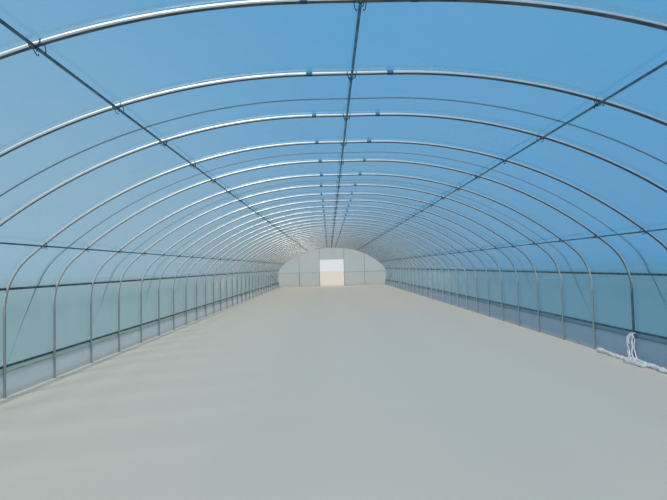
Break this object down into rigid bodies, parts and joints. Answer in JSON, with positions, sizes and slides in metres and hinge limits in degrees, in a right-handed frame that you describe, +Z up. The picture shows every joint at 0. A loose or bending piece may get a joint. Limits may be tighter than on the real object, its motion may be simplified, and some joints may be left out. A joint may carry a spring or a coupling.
{
  "type": "polytunnel greenhouse",
  "caption": "Long single-span polytunnel greenhouse: bent steel tube hoops and purlins under a clear blue film cover, with roll-up side curtains, skirts and open doorways in both end walls.",
  "frame": {"origin": "on the ground at the centre of the plan, under the ridge", "axes": "+Y along the tunnel in the direction the picture looks, +X to the right across it, +Z up"},
  "size_m": [8.906, 36.0386, 2.9246],
  "materials": {
    "hoop_steel": "galvanised tube, bright and slightly mottled",
    "purlin_steel": "galvanised tube, weathered darker grey",
    "channel_steel": "rolled galvanised strip, dull",
    "stake_steel": "plain flat bar, weathered",
    "clear_film": "clear blue polythene film with fine dark specks",
    "curtain_film": "greyer blue polythene film",
    "skirt_film": "pale milky film, dusty near the ground",
    "rope": "dark polypropylene rope"
  },
  "bodies": {
    "root": {"eave_channel_left": "channel_steel", "eave_channel_right": "channel_steel", "far_door_header": "hoop_steel", "far_end_hoop": "hoop_steel", "far_end_posts": "hoop_steel", "far_end_rails": "hoop_steel", "far_film_left": "clear_film", "far_film_right": "clear_film", "far_film_top": "clear_film", "far_wind_braces": "purlin_steel", "film_ropes": "rope", "hoops_1": "hoop_steel", "hoops_2": "hoop_steel", "hoops_3": "hoop_steel", "hoops_4": "hoop_steel", "hoops_5": "hoop_steel", "lower_purlin_left": "purlin_steel", "lower_purlin_right": "purlin_steel", "near_door_header": "hoop_steel", "near_end_hoop": "hoop_steel", "near_end_posts": "hoop_steel", "near_end_rails": "hoop_steel", "near_film_left": "clear_film", "near_film_right": "clear_film", "near_film_top": "clear_film", "near_wind_braces": "purlin_steel", "ridge_pieces": "hoop_steel", "ridge_purlin": "purlin_steel", "roll_tube_left": "purlin_steel", "roll_tube_right": "purlin_steel", "roof_film_eave_left": "clear_film", "roof_film_eave_right": "clear_film", "roof_film_middle_left": "clear_film", "roof_film_middle_right": "clear_film", "roof_film_ridge_left": "clear_film", "roof_film_ridge_right": "clear_film", "rope_stakes": "stake_steel", "side_curtain_left": "curtain_film", "side_curtain_right": "curtain_film", "skirt_channel_left": "channel_steel", "skirt_channel_right": "channel_steel", "skirt_left": "skirt_film", "skirt_right": "skirt_film", "upper_purlin_left": "purlin_steel", "upper_purlin_right": "purlin_steel"}
  },
  "joints": []
}
